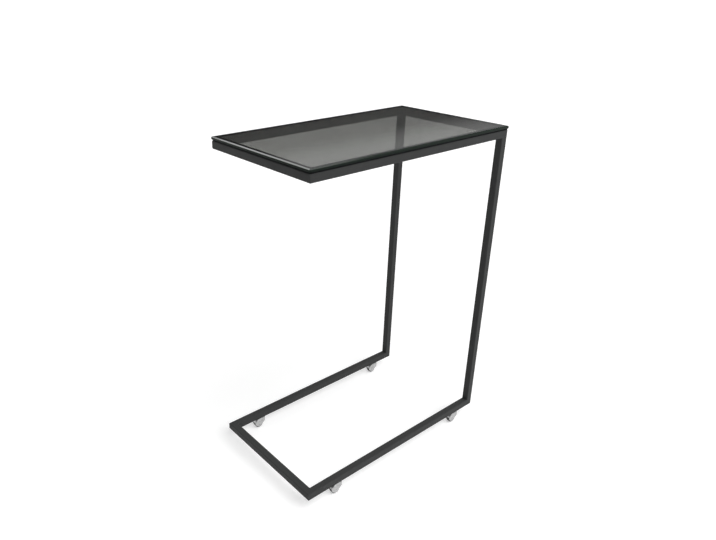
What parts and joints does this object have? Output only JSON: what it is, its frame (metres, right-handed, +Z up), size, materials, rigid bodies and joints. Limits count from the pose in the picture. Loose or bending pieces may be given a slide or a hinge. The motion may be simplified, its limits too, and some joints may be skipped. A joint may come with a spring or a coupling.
{
  "type": "c shaped side table",
  "caption": "Narrow C-shaped side table: square-tube steel frame, grey glass top and an open U base on swivel casters, to slide over a sofa or bed.",
  "frame": {"origin": "on the floor, under the middle of the top", "axes": "+Z up, +X from the open end to the uprights, +Y to the left of someone who stands at the open end and faces the uprights"},
  "size_m": [0.503, 0.285, 0.6855],
  "materials": {
    "frame_powder_coat": "fine-textured matt charcoal powder coat on steel tube",
    "tinted_glass": "grey-tinted float glass with ground and polished edges",
    "foam_bumper": "black closed-cell foam tape, adhesive on both faces",
    "zinc_plated_steel": "bright zinc plate on pressed steel",
    "wheel_rubber": "moulded hard black rubber"
  },
  "bodies": {
    "root": {"top_side_rail_left": "frame_powder_coat", "top_side_rail_right": "frame_powder_coat", "top_end_rail_open": "frame_powder_coat", "top_end_rail_back": "frame_powder_coat", "upright_left": "frame_powder_coat", "upright_right": "frame_powder_coat", "base_side_rail_left": "frame_powder_coat", "base_side_rail_right": "frame_powder_coat", "base_end_rail": "frame_powder_coat", "glass_top": "tinted_glass", "glass_bumpers": "foam_bumper", "caster_insert_open_left": "zinc_plated_steel", "caster_stem_open_left": "zinc_plated_steel", "caster_insert_open_right": "zinc_plated_steel", "caster_stem_open_right": "zinc_plated_steel", "caster_insert_back_left": "zinc_plated_steel", "caster_stem_back_left": "zinc_plated_steel", "caster_insert_back_right": "zinc_plated_steel", "caster_stem_back_right": "zinc_plated_steel"},
    "swivel_open_left": {"caster_fork_open_left": "zinc_plated_steel", "caster_axle_open_left": "zinc_plated_steel"},
    "wheel_open_left": {"caster_wheel_open_left": "wheel_rubber"},
    "swivel_open_right": {"caster_fork_open_right": "zinc_plated_steel", "caster_axle_open_right": "zinc_plated_steel"},
    "wheel_open_right": {"caster_wheel_open_right": "wheel_rubber"},
    "swivel_back_left": {"caster_fork_back_left": "zinc_plated_steel", "caster_axle_back_left": "zinc_plated_steel"},
    "wheel_back_left": {"caster_wheel_back_left": "wheel_rubber"},
    "swivel_back_right": {"caster_fork_back_right": "zinc_plated_steel", "caster_axle_back_right": "zinc_plated_steel"},
    "wheel_back_right": {"caster_wheel_back_right": "wheel_rubber"}
  },
  "joints": [
    {"name": "swivel_open_left", "type": "hinge", "parent": "root", "child": "swivel_open_left", "pos_m": [-0.169, 0.1335, 0.023], "axis": [0, 0, 1], "continuous": true},
    {"name": "roll_open_left", "type": "hinge", "parent": "swivel_open_left", "child": "wheel_open_left", "pos_m": [-0.176, 0.1335, 0.01], "axis": [0, 1, 0], "continuous": true},
    {"name": "swivel_open_right", "type": "hinge", "parent": "root", "child": "swivel_open_right", "pos_m": [-0.169, -0.1335, 0.023], "axis": [0, 0, 1], "continuous": true},
    {"name": "roll_open_right", "type": "hinge", "parent": "swivel_open_right", "child": "wheel_open_right", "pos_m": [-0.176, -0.1335, 0.01], "axis": [0, 1, 0], "continuous": true},
    {"name": "swivel_back_left", "type": "hinge", "parent": "root", "child": "swivel_back_left", "pos_m": [0.195, 0.1335, 0.023], "axis": [0, 0, 1], "continuous": true},
    {"name": "roll_back_left", "type": "hinge", "parent": "swivel_back_left", "child": "wheel_back_left", "pos_m": [0.188, 0.1335, 0.01], "axis": [0, 1, 0], "continuous": true},
    {"name": "swivel_back_right", "type": "hinge", "parent": "root", "child": "swivel_back_right", "pos_m": [0.195, -0.1335, 0.023], "axis": [0, 0, 1], "continuous": true},
    {"name": "roll_back_right", "type": "hinge", "parent": "swivel_back_right", "child": "wheel_back_right", "pos_m": [0.188, -0.1335, 0.01], "axis": [0, 1, 0], "continuous": true}
  ]
}
